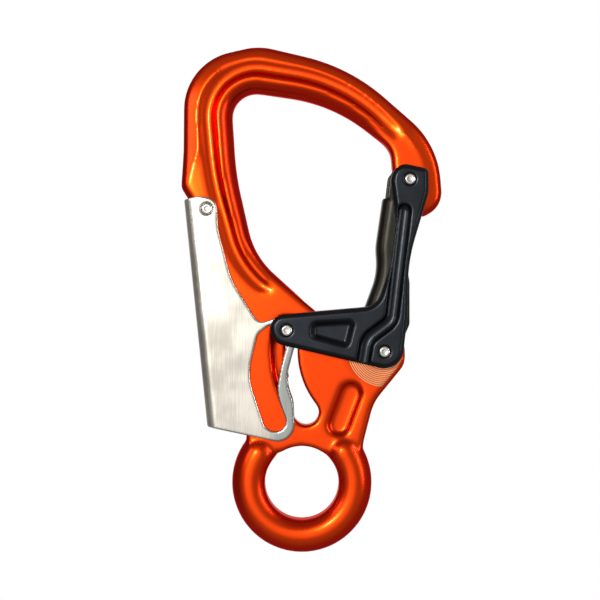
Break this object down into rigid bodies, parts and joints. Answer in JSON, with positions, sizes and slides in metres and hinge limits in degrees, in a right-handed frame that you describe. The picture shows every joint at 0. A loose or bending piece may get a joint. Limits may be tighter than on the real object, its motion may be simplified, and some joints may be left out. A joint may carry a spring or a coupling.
{
  "type": "double-action safety hook",
  "caption": "Forged light-alloy safety hook with a plain round eye, a sprung double-cheek gate and a palm lever along the spine that has to be squeezed before the gate opens.",
  "frame": {"origin": "centre of the eye, on the mid-plane of the forging", "axes": "+Z from the eye to the crown of the hook, +X towards the gate, Y through the thickness along the eye's axis, -Y the front"},
  "size_m": [0.0849, 0.019, 0.1644],
  "materials": {
    "anodised_orange": "satin",
    "anodised_black": "satin",
    "brushed_stainless": "satin",
    "blackened_steel": "satin",
    "rivet_steel": "satin",
    "roller_steel": "satin",
    "bronze": "satin",
    "spring_steel": "satin"
  },
  "bodies": {
    "hook": {"hook_body": "anodised_orange", "lever_bush": "bronze", "gate_bush": "bronze", "gate_washers": "brushed_stainless", "gate_spring": "spring_steel", "lever_spring": "spring_steel"},
    "lever": {"palm_lever": "brushed_stainless", "lever_rivet": "rivet_steel"},
    "gate": {"gate_cheek_rear": "anodised_black", "gate_cheek_front": "anodised_black", "gate_channel": "blackened_steel", "gate_rivet": "rivet_steel", "nose_pin": "rivet_steel", "lock_pin": "rivet_steel"},
    "roller": {"lock_roller": "roller_steel"}
  },
  "joints": [
    {"name": "gate_swing", "type": "hinge", "parent": "hook", "child": "gate", "pos_m": [0.0264, 0, 0.0428], "axis": [0, -1, 0], "range_deg": [0, 46], "stiffness_Nm_per_rad": 0.3, "springref_deg": -34.38, "deforming": ["gate_spring", "lever_spring"]},
    {"name": "lever_squeeze", "type": "hinge", "parent": "hook", "child": "lever", "pos_m": [-0.0306, 0, 0.0887], "axis": [0, -1, 0], "range_deg": [0, 8.5], "stiffness_Nm_per_rad": 0.05, "springref_deg": -17.19, "deforming": ["lever_spring"]},
    {"name": "roller_spin", "type": "hinge", "parent": "gate", "child": "roller", "pos_m": [-0.00487, 0, 0.04962], "axis": [0, 1, 0], "continuous": true}
  ],
  "couplings": [
    {"joint": "lever_squeeze", "follows": "gate_swing", "ratio": 0.1848}
  ]
}
